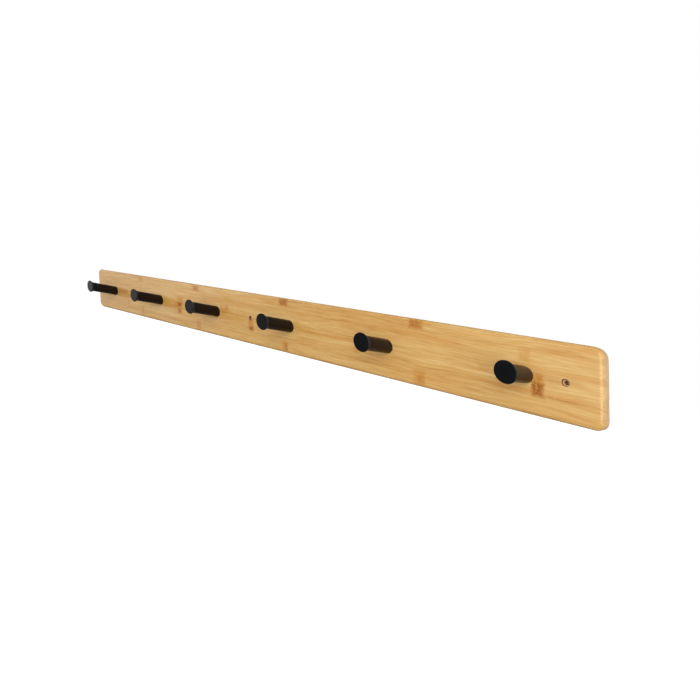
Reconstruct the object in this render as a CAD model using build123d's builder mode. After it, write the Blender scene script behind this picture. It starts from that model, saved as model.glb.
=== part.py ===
from build123d import *
import math
import os

# Wall hook rack: a laminated bamboo board that carries six turned black metal pegs.
# Millimetres. The origin is the centre of the board's back face, on the axis of the middle wall
# screw. +X runs along the board, to the right as seen from the room, +Y points into the wall and
# +Z is up. The wall is the plane Y = 0, and the pegs stick out into the room along -Y.

# Board
BOARD_LENGTH = 1000.0
BOARD_HEIGHT = 82.0
BOARD_THICKNESS = 20.0
CORNER_RADIUS = 10.0
FRONT_EDGE_RADIUS = 5.0
BACK_EDGE_RADIUS = 1.0

# Pegs, evenly spaced on the board's centre line and held by a screw each from behind
PEG_COUNT = 6
PEG_PITCH = 170.0
PEG_LENGTH = 53.0
STEM_DIAMETER = 18.0
HEAD_DIAMETER = 23.0
FLARE_LENGTH = 6.6
RIM_WIDTH = 1.4
RIM_ROUND = 1.0
BASE_CHAMFER = 0.3

# Wall screw holes, counterbored from the front: one in the middle and one near each end
WALL_HOLE_SPACING = 465.0
WALL_HOLE_DIAMETER = 4.2
WALL_RECESS_DIAMETER = 7.5
WALL_RECESS_DEPTH = 4.0

# M5 x 25 pan head machine screws that hold the pegs, sunk below the board's back face
SCREW_DIAMETER = 5.0
SCREW_LENGTH = 25.0
SCREW_TIP_CHAMFER = 0.6
SCREW_HEAD_DIAMETER = 10.0
SCREW_HEAD_HEIGHT = 3.7
SCREW_HEAD_SIDE = 1.6
CROSS_WIDTH = 5.4
CROSS_SLOT = 1.0
CROSS_DEPTH = 2.0
CROSS_TAPER = 12.0
SCREW_CLEARANCE_DIAMETER = 5.5
SCREW_RECESS_DIAMETER = 12.0
SCREW_RECESS_DEPTH = 5.0

# Blind tapped hole in each peg's base, drawn as a plain bore a hair over the screw's size
THREAD_CLEARANCE = 0.05
TAPPED_DEPTH = 14.0
DRILL_POINT_ANGLE = 118.0
TAPPED_MOUTH_CHAMFER = 0.5

HOLE_MOUTH_CHAMFER = 0.3

front_plane = Plane(origin=(0, -BOARD_THICKNESS, 0), x_dir=(1, 0, 0), z_dir=(0, -1, 0))
back_plane = Plane(origin=(0, 0, 0), x_dir=(-1, 0, 0), z_dir=(0, 1, 0))
peg_x = [PEG_PITCH * (i - (PEG_COUNT - 1) / 2) for i in range(PEG_COUNT)]
wall_hole_x = [-WALL_HOLE_SPACING, 0.0, WALL_HOLE_SPACING]

os.makedirs("parts", exist_ok=True)


def mouth(part, y, radius):
    """The circular edges of one radius that lie in the plane Y = y."""
    edges = part.edges().filter_by(GeomType.CIRCLE).filter_by_position(Axis.Y, y - 0.01, y + 0.01)
    return edges.filter_by(lambda e: abs(e.radius - radius) < 0.01)


# Board: edge-glued strips, one solid once the glue has set
with BuildPart() as board:
    with BuildSketch(Plane.XZ):
        RectangleRounded(BOARD_LENGTH, BOARD_HEIGHT, CORNER_RADIUS)
    extrude(amount=BOARD_THICKNESS)
    fillet(board.faces().sort_by(Axis.Y)[0].edges(), FRONT_EDGE_RADIUS)
    fillet(board.faces().sort_by(Axis.Y)[-1].edges(), BACK_EDGE_RADIUS)
    with Locations(front_plane):
        with Locations(*[(x, 0) for x in wall_hole_x]):
            CounterBoreHole(WALL_HOLE_DIAMETER / 2, WALL_RECESS_DIAMETER / 2, WALL_RECESS_DEPTH)
    with Locations(back_plane):
        with Locations(*[(-x, 0) for x in peg_x]):
            CounterBoreHole(
                SCREW_CLEARANCE_DIAMETER / 2, SCREW_RECESS_DIAMETER / 2, SCREW_RECESS_DEPTH
            )
    chamfer(mouth(board.part, -BOARD_THICKNESS, WALL_RECESS_DIAMETER / 2), HOLE_MOUTH_CHAMFER)
    chamfer(mouth(board.part, 0, WALL_HOLE_DIAMETER / 2), HOLE_MOUTH_CHAMFER)
    chamfer(mouth(board.part, 0, SCREW_RECESS_DIAMETER / 2), HOLE_MOUTH_CHAMFER)
board.part.label = "board"
export_step(board.part, "parts/board.step")

# Pegs: a straight round stem that flares into a flat round head, with a blind tapped hole
stem_r = STEM_DIAMETER / 2
head_r = HEAD_DIAMETER / 2
bore_r = SCREW_DIAMETER / 2 + THREAD_CLEARANCE
point_depth = bore_r / math.tan(math.radians(DRILL_POINT_ANGLE / 2))
flare_start = PEG_LENGTH - RIM_WIDTH - FLARE_LENGTH
rim_start = PEG_LENGTH - RIM_WIDTH

for i, x in enumerate(peg_x):
    # In this plane, local x is the distance from the peg's axis and local y the distance out
    # from the board's front face.
    profile_plane = Plane(origin=(x, -BOARD_THICKNESS, 0), x_dir=(1, 0, 0), z_dir=(0, 0, -1))
    with BuildPart() as peg:
        with BuildSketch(profile_plane):
            with BuildLine():
                Polyline(
                    (0, PEG_LENGTH),
                    (0, TAPPED_DEPTH + point_depth),
                    (bore_r, TAPPED_DEPTH),
                    (bore_r, TAPPED_MOUTH_CHAMFER),
                    (bore_r + TAPPED_MOUTH_CHAMFER, 0),
                    (stem_r - BASE_CHAMFER, 0),
                    (stem_r, BASE_CHAMFER),
                    (stem_r, flare_start),
                )
                TangentArc((stem_r, flare_start), (head_r, rim_start), tangent=(0, 1))
                Line((head_r, rim_start), (head_r, PEG_LENGTH - RIM_ROUND))
                RadiusArc(
                    (head_r, PEG_LENGTH - RIM_ROUND), (head_r - RIM_ROUND, PEG_LENGTH), -RIM_ROUND
                )
                Line((head_r - RIM_ROUND, PEG_LENGTH), (0, PEG_LENGTH))
            make_face()
        revolve(axis=Axis((x, -BOARD_THICKNESS, 0), (0, -1, 0)))
    peg.part.label = f"peg_{i + 1}"
    export_step(peg.part, f"parts/peg_{i + 1}.step")

# Screws: pan head with a cross recess, head down in the back recess, shank forward into the peg
seat_y = -SCREW_RECESS_DEPTH
screw_r = SCREW_DIAMETER / 2
screw_head_r = SCREW_HEAD_DIAMETER / 2

for i, x in enumerate(peg_x):
    # Local x is the distance from the screw's axis, local y the distance from the head's seat
    # towards the wall.
    profile_plane = Plane(origin=(x, seat_y, 0), x_dir=(1, 0, 0), z_dir=(0, 0, 1))
    head_top_plane = Plane(
        origin=(x, seat_y + SCREW_HEAD_HEIGHT, 0), x_dir=(-1, 0, 0), z_dir=(0, 1, 0)
    )
    with BuildPart() as screw:
        with BuildSketch(profile_plane):
            with BuildLine():
                Polyline(
                    (0, SCREW_HEAD_HEIGHT),
                    (0, -SCREW_LENGTH),
                    (screw_r - SCREW_TIP_CHAMFER, -SCREW_LENGTH),
                    (screw_r, -SCREW_LENGTH + SCREW_TIP_CHAMFER),
                    (screw_r, 0),
                    (screw_head_r, 0),
                    (screw_head_r, SCREW_HEAD_SIDE),
                )
                TangentArc(
                    (0, SCREW_HEAD_HEIGHT), (screw_head_r, SCREW_HEAD_SIDE), tangent=(1, 0)
                )
            make_face()
        revolve(axis=Axis((x, seat_y, 0), (0, 1, 0)))
        with BuildSketch(head_top_plane):
            Rectangle(CROSS_WIDTH, CROSS_SLOT)
            Rectangle(CROSS_SLOT, CROSS_WIDTH)
        extrude(amount=-CROSS_DEPTH, taper=CROSS_TAPER, mode=Mode.SUBTRACT)
    screw.part.label = f"peg_screw_{i + 1}"
    export_step(screw.part, f"parts/peg_screw_{i + 1}.step")
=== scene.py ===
"""Looks for the wall hook rack: a laminated bamboo board with six black pegs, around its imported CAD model.

Metres, in the CAD frame: the origin is the centre of the board's back face, +X runs along the board, +Y
points into the wall and +Z is up. Materials work in millimetres, which they get by scaling object
coordinates.
"""

import math

import bmesh
import bpy
from mathutils import Matrix, Vector


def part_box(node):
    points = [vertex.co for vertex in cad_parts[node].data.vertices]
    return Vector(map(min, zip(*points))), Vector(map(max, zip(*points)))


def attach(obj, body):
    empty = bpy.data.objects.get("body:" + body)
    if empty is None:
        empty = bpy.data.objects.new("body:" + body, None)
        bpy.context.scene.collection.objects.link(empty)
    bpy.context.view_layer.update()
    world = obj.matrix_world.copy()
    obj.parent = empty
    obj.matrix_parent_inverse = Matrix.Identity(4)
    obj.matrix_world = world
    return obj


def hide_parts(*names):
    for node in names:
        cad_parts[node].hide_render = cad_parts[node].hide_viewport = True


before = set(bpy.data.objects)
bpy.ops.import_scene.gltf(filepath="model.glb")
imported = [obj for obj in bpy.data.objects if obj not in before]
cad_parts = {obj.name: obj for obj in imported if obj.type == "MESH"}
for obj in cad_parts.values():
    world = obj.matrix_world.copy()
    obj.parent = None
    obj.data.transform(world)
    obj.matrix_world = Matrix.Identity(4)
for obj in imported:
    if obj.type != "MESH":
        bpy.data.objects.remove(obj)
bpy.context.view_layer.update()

MM = 0.001

# Sizes that the CAD boxes don't give, as in part.py, in millimetres
CORNER_RADIUS = 10.0
FRONT_EDGE_RADIUS = 5.0
BACK_EDGE_RADIUS = 1.0
WALL_HOLE_X = (-465.0, 0.0, 465.0)
WALL_HOLE_RADIUS = 2.1
WALL_RECESS_RADIUS = 3.75
WALL_RECESS_DEPTH = 4.0
SCREW_CLEARANCE_RADIUS = 2.75
SCREW_RECESS_RADIUS = 6.0
SCREW_RECESS_DEPTH = 5.0
HOLE_MOUTH_CHAMFER = 0.3
HEAD_RADIUS = 11.5
BEYOND_BOARD = 1000.0  # farther than any point of the board from a hole's axis
PEG_NODES = sorted(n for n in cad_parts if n.startswith("peg_") and "screw" not in n)
SCREW_NODES = sorted(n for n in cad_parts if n.startswith("peg_screw_"))


def centre_mm(node):
    low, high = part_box(node)
    return (low + high) / 2 / MM


PEG_X = [centre_mm(node).x for node in PEG_NODES]
PEG_PITCH = (PEG_X[-1] - PEG_X[0]) / (len(PEG_X) - 1)


# The warm painted reflection of the board on the pegs' stems starts at the first of these depths and is full
# from the second
STEM_REFLECTION_STARTS, STEM_REFLECTION_FULL = -68.0, -62.0


# ---------------------------------------------------------------- materials


def srgb(red, green, blue):
    """Linear colour from 0-255 display values."""

    def channel(value):
        value /= 255
        return value / 12.92 if value <= 0.04045 else ((value + 0.055) / 1.055) ** 2.4

    return (channel(red), channel(green), channel(blue), 1.0)


class Graph:
    """A material's node tree, built with short calls."""

    def __init__(self, name):
        self.material = bpy.data.materials.new(name)
        self.material.use_nodes = True
        self.tree = self.material.node_tree
        self.tree.nodes.clear()
        self.shader = self.add("ShaderNodeBsdfPrincipled")
        output = self.add("ShaderNodeOutputMaterial")
        self.tree.links.new(self.shader.outputs[0], output.inputs["Surface"])
        coords = self.add("ShaderNodeTexCoord").outputs["Object"]
        self.mm = self.vector("SCALE", coords, Scale=1 / MM)
        self.x, self.y, self.z = self.split(self.mm)

    def add(self, kind, inputs=None, **settings):
        node = self.tree.nodes.new(kind)
        for key, value in settings.items():
            setattr(node, key, value)
        for key, value in (inputs or {}).items():
            self.put(node.inputs[key], value)
        return node

    def put(self, socket, value):
        if isinstance(value, bpy.types.NodeSocket):
            self.tree.links.new(value, socket)
        else:
            socket.default_value = value

    def set(self, **inputs):
        """Sets the shader's own sockets; an underscore stands for a space."""
        for key, value in inputs.items():
            self.put(self.shader.inputs[key.replace("_", " ")], value)

    def math(self, operation, *values, clamp=False):
        inputs = dict(enumerate(values))
        return self.add("ShaderNodeMath", inputs, operation=operation, use_clamp=clamp).outputs[0]

    def vector(self, operation, *values, **named):
        inputs = {**dict(enumerate(values)), **named}
        node = self.add("ShaderNodeVectorMath", inputs, operation=operation)
        return node.outputs["Value" if operation == "LENGTH" else "Vector"]

    def split(self, vector):
        return self.add("ShaderNodeSeparateXYZ", {0: vector}).outputs

    def join(self, x=0.0, y=0.0, z=0.0):
        return self.add("ShaderNodeCombineXYZ", {0: x, 1: y, 2: z}).outputs[0]

    def noise(self, vector, size, detail=2.0, roughness=0.5):
        """Noise whose features are about size = (x, y, z) millimetres across."""
        place = self.vector("MULTIPLY", vector, tuple(1 / s for s in size))
        inputs = {"Vector": place, "Scale": 1.0, "Detail": detail, "Roughness": roughness}
        return self.add("ShaderNodeTexNoise", inputs).outputs[0]

    def remap(self, value, low, high, to_low=0.0, to_high=1.0, smooth=False):
        """Takes low to to_low and high to to_high, and keeps what lies outside at the nearer of the two."""
        node = self.add(
            "ShaderNodeMapRange",
            {"Value": value, 1: low, 2: high, 3: to_low, 4: to_high},
            interpolation_type="SMOOTHSTEP" if smooth else "LINEAR",
        )
        return node.outputs[0]

    def ramp(self, value, stops):
        """Colour between stops of (value, colour)."""
        node = self.add("ShaderNodeValToRGB", {0: value})
        elements = node.color_ramp.elements
        while len(elements) < len(stops):
            elements.new(0.5)
        for element, (place, colour) in zip(elements, stops):
            element.position = place
            element.color = colour
        return node.outputs[0]

    def mix(self, factor, a, b):
        """Colour a, going over to colour b as factor goes from 0 to 1."""
        node = self.add("ShaderNodeMix", data_type="RGBA")
        for socket, value in ((node.inputs[0], factor), (node.inputs[6], a), (node.inputs[7], b)):
            self.put(socket, value)
        return node.outputs[2]

    def bump(self, height, distance_mm, strength):
        inputs = {"Height": height, "Distance": distance_mm * MM, "Strength": strength}
        self.put(self.shader.inputs["Normal"], self.add("ShaderNodeBump", inputs).outputs[0])


# The board is four strips glued edge to edge. These are the heights of the glue lines, in millimetres.
GLUE_LINES = (-19.5, 4.0, 27.5)
# How far each strip's grain is moved from that of the strip below it, in millimetres
STRIP_SHIFT = (713.0, 57.0, 91.0)

# Bamboo's nodes show as marks on the strips, and three of the patches are painted shadows of pegs: (x, z,
# half length, half height, strength), in millimetres.
# They were placed one by one.
BROWN_MARKS_AND_SHADOW = (
    (438, -13, 6, 7.5, 1.0),
    (-192.5, -1, 6, 4, 1.0),
    (-194, -13, 6, 5, 0.75),
    (1, -16, 5, 3.5, 0.85),
    (74, 34.5, 8, 5, 0.75),
    (-142, 33.5, 7, 4, 0.6),
    (297, 34, 8, 5, 0.6),
    (76, -32, 3.5, 6.5, 0.55),
    (-393, 2.5, 21, 3.5, 0.55),
    (-57, 10, 4.5, 5.5, 0.3),
    (302, -33, 5, 5, 0.3),
    (100, 37, 18, 0.8, 0.4),
    (458, -18.5, 18, 0.9, 0.4),
    # Painted shadow: a soft darker band falling to the right of the right-hand peg
    (462, 1, 20, 3, 0.18),
)
ORANGE_MARKS_AND_SHADOWS = (
    (438.5, -3, 6, 7.5, 0.75),
    (-201, -2, 7, 5, 0.6),
    (-190, 10, 8, 5, 0.5),
    (74, -31, 7, 8, 0.4),
    (74, 34, 11, 5.5, 0.5),
    (-142, 33, 10, 5, 0.45),
    (-137, -30, 5.5, 8, 0.6),
    (-320, -28, 5, 11, 0.4),
    (-323, 34, 8, 5, 0.5),
    (-325, 17, 6, 4, 0.25),
    (-480, 31.5, 6, 4, 0.2),
    (-372, -17, 5, 4, 0.3),
    (-66, 5, 9, 7, 0.4),
    (0, -10, 6, 8, 0.75),
    (300, -29, 8, 9, 0.5),
    (425, 20, 6, 7, 0.4),
    (190, 21, 9, 9, 0.15),
    # Painted shadow of the fifth peg's head, over a real orange spot
    (207, -13, 5, 4, 0.4),
    # Painted shadow of the right-hand peg's head
    (382, -2, 7, 4, 0.25),
    (298, 34, 10, 6, 0.6),
    (308, 36, 12, 1.5, 0.4),
)
YELLOW_MARKS = (
    (-238, 0, 6, 8, 0.5),
    (-57, 24, 7, 5, 0.45),
    (101, 7, 6, 4, 0.35),
    (73, -27, 5, 5, 0.25),
)
# A mark is full up to the first share of its half size and gone beyond the second
MARK_FULL, MARK_GONE = 0.6, 1.25


def marks(g, place, patches):
    """How strongly a point lies in any of the soft-edged rectangular patches, from 0 to 1."""
    amount = 0.0
    for x, z, half_x, half_z, strength in patches:
        offset = g.vector(
            "MULTIPLY_ADD", place, (1 / half_x, 0.0, 1 / half_z), (-x / half_x, 0.0, -z / half_z)
        )
        across = g.split(g.vector("ABSOLUTE", offset))
        farther = g.math("MAXIMUM", across[0], across[2])
        inside = g.remap(farther, MARK_GONE, MARK_FULL, 0.0, strength)
        amount = g.math("MAXIMUM", amount, inside)
    return amount


def bamboo():
    """Lacquered bamboo strips with glue lines, node marks and a few painted peg shadows, bare inside the wall
    screw holes, with darkened recess walls.
    """
    g = Graph("bamboo_lacquered")
    strip = 0.0
    for line in GLUE_LINES:
        strip = g.math("ADD", strip, g.math("GREATER_THAN", g.z, line))
    # Each strip comes from another piece of cane, and its fibres wander a little.
    own = g.join(*(g.math("MULTIPLY", strip, shift) for shift in STRIP_SHIFT))
    grain = g.vector("ADD", g.mm, own)
    wander = g.math("SUBTRACT", g.noise(grain, (90, 60, 30), 1.0), 0.5)
    wander = g.math("MULTIPLY", wander, 9.0)
    grain = g.vector("ADD", grain, g.join(0.0, 0.0, wander))

    cane = g.noise(grain, (260, 16, 11), 2.0)
    streak = g.noise(grain, (38, 1.4, 1.4), 3.0, 0.64)
    fibre = g.noise(grain, (14, 0.4, 0.4), 3.0, 0.6)
    tone = g.math("MULTIPLY", fibre, 0.14)
    tone = g.math("MULTIPLY_ADD", streak, 0.44, tone)
    tone = g.math("MULTIPLY_ADD", cane, 0.42, tone)
    colour = g.ramp(
        tone,
        [
            (0.36, srgb(196, 138, 64)),
            (0.45, srgb(211, 160, 86)),
            (0.53, srgb(220, 174, 102)),
            (0.64, srgb(232, 194, 128)),
        ],
    )
    # Warm orange lines where the cane was denser
    warm = g.remap(g.noise(grain, (120, 2.2, 2.2), 2.0), 0.54, 0.7, smooth=True)
    colour = g.mix(g.math("MULTIPLY", warm, 0.4), colour, srgb(212, 136, 56))
    # Vascular bundles: short thin darker dashes
    dash = g.remap(g.noise(grain, (9, 0.3, 0.3), 1.0), 0.6, 0.72)
    colour = g.mix(g.math("MULTIPLY", dash, 0.22), colour, srgb(150, 96, 40))

    # Node marks, and the painted peg shadows listed among them: rows of fine dark specks in a stain with a
    # ragged edge
    ragged = g.join(
        g.math("MULTIPLY_ADD", g.noise(grain, (9, 2.2, 2.2), 2.0), 5.0, -2.5),
        0.0,
        g.math("MULTIPLY_ADD", g.noise(grain, (4, 3, 3), 2.0), 2.4, -1.2),
    )
    place = g.vector("ADD", g.mm, ragged)
    rows = g.remap(g.noise(grain, (2.2, 7, 7), 1.0), 0.3, 0.65)
    specks = g.remap(g.noise(grain, (3.2, 1.8, 1.8), 2.0, 0.6), 0.35, 0.65)
    texture = g.math("MULTIPLY_ADD", rows, 0.45, g.math("MULTIPLY_ADD", specks, 0.45, 0.45))
    for patches, stain_and_shadow_colour in (
        (YELLOW_MARKS, srgb(203, 160, 30)),
        (ORANGE_MARKS_AND_SHADOWS, srgb(198, 126, 30)),
        (BROWN_MARKS_AND_SHADOW, srgb(164, 92, 8)),
    ):
        amount = g.math("MULTIPLY", marks(g, place, patches), texture, clamp=True)
        colour = g.mix(amount, colour, stain_and_shadow_colour)

    # Glue lines
    for line in GLUE_LINES:
        near = g.math("ABSOLUTE", g.math("SUBTRACT", g.z, line))
        colour = g.mix(g.remap(near, 0.25, 0.08, 0.0, 0.3), colour, srgb(150, 100, 50))

    # The wall screw holes are bare and pale inside. The recesses' walls are darkened, partly as drill burn
    # and partly as painted shade in the recess.
    hole = BEYOND_BOARD
    for x in WALL_HOLE_X:
        from_axis = g.vector("LENGTH", g.join(g.math("SUBTRACT", g.x, x), 0.0, g.z))
        hole = g.math("MINIMUM", hole, from_axis)
    mouth = WALL_RECESS_RADIUS + HOLE_MOUTH_CHAMFER
    bare = g.remap(hole, mouth + 0.05, mouth)
    colour = g.mix(g.math("MULTIPLY", bare, 0.7), colour, srgb(222, 172, 132))
    # Painted shade with some real drill burn: the recess walls are coloured dark brown
    wall = g.math(
        "MULTIPLY",
        g.remap(hole, WALL_RECESS_RADIUS + 0.06, WALL_RECESS_RADIUS + 0.02),
        g.remap(hole, WALL_RECESS_RADIUS - 0.5, WALL_RECESS_RADIUS - 0.2),
    )
    colour = g.mix(g.math("MULTIPLY", wall, 0.85), colour, srgb(105, 60, 18))

    sheen = g.math("MULTIPLY_ADD", streak, 0.12, g.math("MULTIPLY_ADD", dash, 0.08, 0.36))
    g.set(
        Base_Color=colour,
        Roughness=g.math("MULTIPLY_ADD", bare, 0.4, sheen),
        Specular_IOR_Level=0.45,
        Coat_Weight=g.math("MULTIPLY_ADD", bare, -0.25, 0.25),
        Coat_Roughness=0.2,
    )
    height = g.math("SUBTRACT", g.math("MULTIPLY", fibre, 0.6), g.math("MULTIPLY", dash, 0.5))
    g.bump(height, 0.035, 0.6)
    return g.material


def from_peg_axis(g):
    """Distance from the nearest peg's axis. The pegs are evenly spaced on both sides of x = 0."""
    offset = g.math("SUBTRACT", g.math("WRAP", g.x, PEG_PITCH, 0.0), PEG_PITCH / 2)
    return g.vector("LENGTH", g.join(offset, 0.0, g.z))


def black_paint():
    """Satin black paint, with a paler painted highlight round the rim of each peg's head."""
    g = Graph("peg_black_paint")
    peel = g.noise(g.mm, (0.55, 0.55, 0.55), 2.0)
    cloud = g.noise(g.mm, (14, 14, 14), 2.0)
    rim = g.remap(from_peg_axis(g), HEAD_RADIUS - 0.9, HEAD_RADIUS - 0.3, smooth=True)
    rim = g.math("MULTIPLY", rim, g.remap(g.noise(g.mm, (1.6, 1.6, 1.6), 3.0), 0.35, 0.7))
    colour = g.mix(cloud, srgb(3, 5, 8), srgb(9, 10, 12))
    # The stems get a warm painted reflection of the bamboo board, which the heads' flat ends don't.
    board_reflection = g.remap(g.y, STEM_REFLECTION_STARTS, STEM_REFLECTION_FULL)
    colour = g.mix(g.math("MULTIPLY", board_reflection, 0.8), colour, srgb(26, 14, 9))
    # Painted highlight: the rim of each head is lightened to grey
    colour = g.mix(g.math("MULTIPLY", rim, 0.6), colour, srgb(64, 68, 72))
    rough = g.math("MULTIPLY_ADD", peel, 0.1, 0.22)
    rough = g.math("MULTIPLY_ADD", cloud, 0.12, rough)
    rough = g.math("MULTIPLY_ADD", rim, -0.12, rough)
    g.set(Base_Color=colour, Roughness=rough, Specular_IOR_Level=0.16)
    g.bump(peel, 0.02, 0.5)
    return g.material


def zinc():
    """Zinc plate with faint turning marks round each screw's axis."""
    g = Graph("screw_zinc")
    patch = g.noise(g.mm, (2.5, 2.5, 2.5), 3.0)
    turned = g.noise(g.join(from_peg_axis(g), g.y, 0.0), (0.12, 0.3, 1.0), 2.0)
    g.set(
        Base_Color=g.mix(patch, srgb(176, 180, 186), srgb(206, 205, 196)),
        Metallic=1.0,
        Roughness=g.math("MULTIPLY_ADD", patch, 0.2, g.math("MULTIPLY_ADD", turned, 0.12, 0.2)),
    )
    g.bump(turned, 0.01, 0.5)
    return g.material


def pale_floor():
    """Near white, and bright enough by itself to show no shadow."""
    g = Graph("floor_pale")
    cloud = g.noise(g.mm, (400, 400, 400), 2.0)
    pale = g.mix(cloud, srgb(252, 252, 252), srgb(255, 255, 255))
    g.set(Base_Color=pale, Roughness=0.8, Emission_Color=pale, Emission_Strength=1.0)
    return g.material


BAMBOO, PAINT, ZINC, PALE = bamboo(), black_paint(), zinc(), pale_floor()


# ---------------------------------------------------------------- board


HOLE_SEGMENTS = 64
CORNER_SEGMENTS = 14
FRONT_EDGE_SEGMENTS = 12
BACK_EDGE_SEGMENTS = 4


def circle(radius, x):
    """Points (x, z) round a hole's axis."""
    angles = [2 * math.pi * i / HOLE_SEGMENTS for i in range(HOLE_SEGMENTS)]
    return [(x + radius * math.cos(angle), radius * math.sin(angle)) for angle in angles]


def outline(half_length, half_height, inset):
    """Points (x, z) of the board's rounded outline, moved in by inset."""
    radius = CORNER_RADIUS - inset
    x, z = half_length - CORNER_RADIUS, half_height - CORNER_RADIUS
    points = []
    for corner, (cx, cz) in enumerate(((x, z), (-x, z), (-x, -z), (x, -z))):
        for i in range(CORNER_SEGMENTS + 1):
            angle = math.pi / 2 * (corner + i / CORNER_SEGMENTS)
            points.append((cx + radius * math.cos(angle), cz + radius * math.sin(angle)))
    return points


def skin(bm, loops):
    """Quads between loops of points (x, z) at depths y. Returns the first and last loop's vertices."""
    rings = [[bm.verts.new((x * MM, y * MM, z * MM)) for x, z in points] for y, points in loops]
    for a, b in zip(rings, rings[1:]):
        for i in range(len(a)):
            j = (i + 1) % len(a)
            bm.faces.new((a[i], a[j], b[j], b[i]))
    return rings[0], rings[-1]


def cap(bm, rims):
    """Fills the flat face between an outer rim and the hole rims inside it."""
    edges = []
    for rim in rims:
        edges += [bm.edges.get((rim[i], rim[(i + 1) % len(rim)])) for i in range(len(rim))]
    bmesh.ops.triangle_fill(bm, use_beauty=True, edges=edges)


def finish_mesh(bm, name, material, sharp_degrees=25):
    """Object from a bmesh, smooth but for its sharp edges, with flat faces shaded flat."""
    bmesh.ops.recalc_face_normals(bm, faces=bm.faces)
    for face in bm.faces:
        face.smooth = True
    for edge in bm.edges:
        edge.smooth = edge.calc_face_angle(0.0) < math.radians(sharp_degrees)
    mesh = bpy.data.meshes.new(name)
    bm.to_mesh(mesh)
    bm.free()
    mesh.materials.append(material)
    piece = bpy.data.objects.new(name, mesh)
    bpy.context.scene.collection.objects.link(piece)
    weighted = piece.modifiers.new("flat faces stay flat", "WEIGHTED_NORMAL")
    weighted.keep_sharp = True
    return piece


def make_board():
    """The board, with rounded edges, wall screw holes and the stepped holes of the pegs' screws."""
    low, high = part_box("board")
    half_length, half_height = (high.x - low.x) / 2 / MM, (high.z - low.z) / 2 / MM
    back, front = high.y / MM, low.y / MM
    bm = bmesh.new()

    loops = []
    for i in range(BACK_EDGE_SEGMENTS + 1):
        angle = math.pi / 2 * i / BACK_EDGE_SEGMENTS
        inset = BACK_EDGE_RADIUS * (1 - math.sin(angle))
        depth = back - BACK_EDGE_RADIUS * (1 - math.cos(angle))
        loops.append((depth, outline(half_length, half_height, inset)))
    for i in range(FRONT_EDGE_SEGMENTS + 1):
        angle = math.pi / 2 * i / FRONT_EDGE_SEGMENTS
        inset = FRONT_EDGE_RADIUS * (1 - math.cos(angle))
        depth = front + FRONT_EDGE_RADIUS * (1 - math.sin(angle))
        loops.append((depth, outline(half_length, half_height, inset)))
    back_rim, front_rim = skin(bm, loops)
    back_rims, front_rims = [back_rim], [front_rim]

    # Holes as (depth, radius), from the front to the back
    wall_step, screw_step = front + WALL_RECESS_DEPTH, back - SCREW_RECESS_DEPTH
    wall_hole = [
        (front, WALL_RECESS_RADIUS + HOLE_MOUTH_CHAMFER),
        (front + HOLE_MOUTH_CHAMFER, WALL_RECESS_RADIUS),
        (wall_step, WALL_RECESS_RADIUS),
        (wall_step, WALL_HOLE_RADIUS),
        (back - HOLE_MOUTH_CHAMFER, WALL_HOLE_RADIUS),
        (back, WALL_HOLE_RADIUS + HOLE_MOUTH_CHAMFER),
    ]
    screw_hole = [
        (front, SCREW_CLEARANCE_RADIUS),
        (screw_step, SCREW_CLEARANCE_RADIUS),
        (screw_step, SCREW_RECESS_RADIUS),
        (back - HOLE_MOUTH_CHAMFER, SCREW_RECESS_RADIUS),
        (back, SCREW_RECESS_RADIUS + HOLE_MOUTH_CHAMFER),
    ]
    for profile, places in ((wall_hole, WALL_HOLE_X), (screw_hole, PEG_X)):
        for x in places:
            front_rim, back_rim = skin(bm, [(depth, circle(radius, x)) for depth, radius in profile])
            front_rims.append(front_rim)
            back_rims.append(back_rim)
    cap(bm, front_rims)
    cap(bm, back_rims)
    return finish_mesh(bm, "bamboo_board", BAMBOO)


board = make_board()
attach(board, "root")
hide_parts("board")

for nodes, material in ((PEG_NODES, PAINT), (SCREW_NODES, ZINC)):
    for node in nodes:
        for material_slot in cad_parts[node].material_slots:
            material_slot.material = material


# ---------------------------------------------------------------- floor, light and camera

FLOOR_DROP = 1.3  # the rack hangs on a wall, well above the floor
FLOOR_REACH = 30.0

floor_mesh = bpy.data.meshes.new("floor")
corners = [(x * FLOOR_REACH, y * FLOOR_REACH, -FLOOR_DROP) for x, y in ((-1, -1), (1, -1), (1, 1), (-1, 1))]
floor_mesh.from_pydata(corners, [], [(0, 1, 2, 3)])
floor_mesh.materials.append(PALE)
floor = bpy.data.objects.new("floor", floor_mesh)
bpy.context.scene.collection.objects.link(floor)
floor.visible_diffuse = floor.visible_glossy = False


def soft_light(name, azimuth, elevation, distance, size, level):
    """A square light aimed at the rack. level is roughly what a white surface facing it would show.

    azimuth and elevation are degrees, azimuth from the front towards the right; distance and size are metres.
    """
    data = bpy.data.lights.new(name, "AREA")
    data.size = size
    data.energy = level * math.pi**2 * distance**2
    light = bpy.data.objects.new(name, data)
    turn, lift = math.radians(azimuth), math.radians(elevation)
    level_part = math.cos(lift)
    away = Vector((math.sin(turn) * level_part, -math.cos(turn) * level_part, math.sin(lift)))
    light.location = away * distance
    light.rotation_mode = "QUATERNION"
    light.rotation_quaternion = away.to_track_quat("Z", "Y")
    bpy.context.scene.collection.objects.link(light)


soft_light("right", 43, 9, 3.0, 2.4, 0.78)
soft_light("front", 12, 6, 3.0, 1.1, 0.09)
soft_light("left", -66, 14, 3.5, 2.2, 0.12)
soft_light("overhead", 10, 60, 3.0, 2.6, 0.08)
soft_light("edge", 135, 8, 2.5, 2.8, 0.2)

# The camera sees a white backdrop, while the rack is lit by a dimmer, slightly blue room.
ROOM_COLOUR = (0.93, 0.96, 1.0, 1.0)
ROOM_LEVEL = 0.33
BACKDROP_COLOUR = (1.0, 1.0, 1.0, 1.0)

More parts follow.
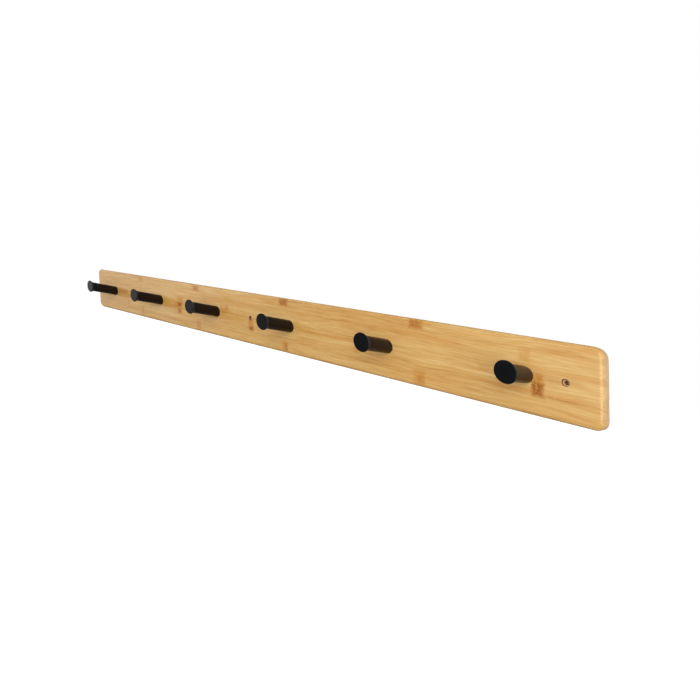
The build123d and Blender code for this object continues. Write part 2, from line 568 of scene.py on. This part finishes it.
world = bpy.data.worlds.new("studio")
world.use_nodes = True
tree = world.node_tree
tree.nodes.clear()
room = tree.nodes.new("ShaderNodeBackground")
room.inputs["Color"].default_value = ROOM_COLOUR
room.inputs["Strength"].default_value = ROOM_LEVEL
backdrop = tree.nodes.new("ShaderNodeBackground")
backdrop.inputs["Color"].default_value = BACKDROP_COLOUR
path = tree.nodes.new("ShaderNodeLightPath")
pick = tree.nodes.new("ShaderNodeMixShader")
world_out = tree.nodes.new("ShaderNodeOutputWorld")
tree.links.new(path.outputs["Is Camera Ray"], pick.inputs[0])
tree.links.new(room.outputs[0], pick.inputs[1])
tree.links.new(backdrop.outputs[0], pick.inputs[2])
tree.links.new(pick.outputs[0], world_out.inputs[0])
bpy.context.scene.world = world
bpy.context.scene.view_settings.view_transform = "Standard"

# The photograph's viewpoint, in front of the rack, just past its right end and nearly level with it
VIEWPOINT = Vector((0.6005, -0.5305, 0.0137))
VIEW_AZIMUTH = 38.36
VIEW_ELEVATION = 2.54
VIEW_ROLL = -2.28
LENS = 24.88
SENSOR_WIDTH = 36.0
# The photograph is skewed: uprights stay upright, while lines that run across the picture tilt. Why it is
# isn't known. A sheared parent gives the camera the same skew.
PHOTO_SKEW = 0.2337

turn, lift, roll = (math.radians(a) for a in (VIEW_AZIMUTH, VIEW_ELEVATION, VIEW_ROLL))
ahead = Vector((-math.sin(turn) * math.cos(lift), math.cos(turn) * math.cos(lift), -math.sin(lift)))
level = Vector((math.cos(turn), math.sin(turn), 0))
upright = level.cross(ahead)
right = math.cos(roll) * level + math.sin(roll) * upright
up = math.cos(roll) * upright - math.sin(roll) * level
stand = bpy.data.objects.new("camera_stand", None)
stand.matrix_world = Matrix.Translation(VIEWPOINT) @ Matrix((right, up, -ahead)).transposed().to_4x4()
bpy.context.scene.collection.objects.link(stand)
camera_data = bpy.data.cameras.new("camera")
camera_data.lens = LENS
camera_data.sensor_width = SENSOR_WIDTH
camera_data.clip_start = 0.01
camera = bpy.data.objects.new("camera", camera_data)
camera.parent = stand
camera.matrix_parent_inverse = Matrix(((1, 0, 0, 0), (PHOTO_SKEW, 1, 0, 0), (0, 0, 1, 0), (0, 0, 0, 1)))
bpy.context.scene.collection.objects.link(camera)
bpy.context.scene.camera = camera

bpy.context.view_layer.update()
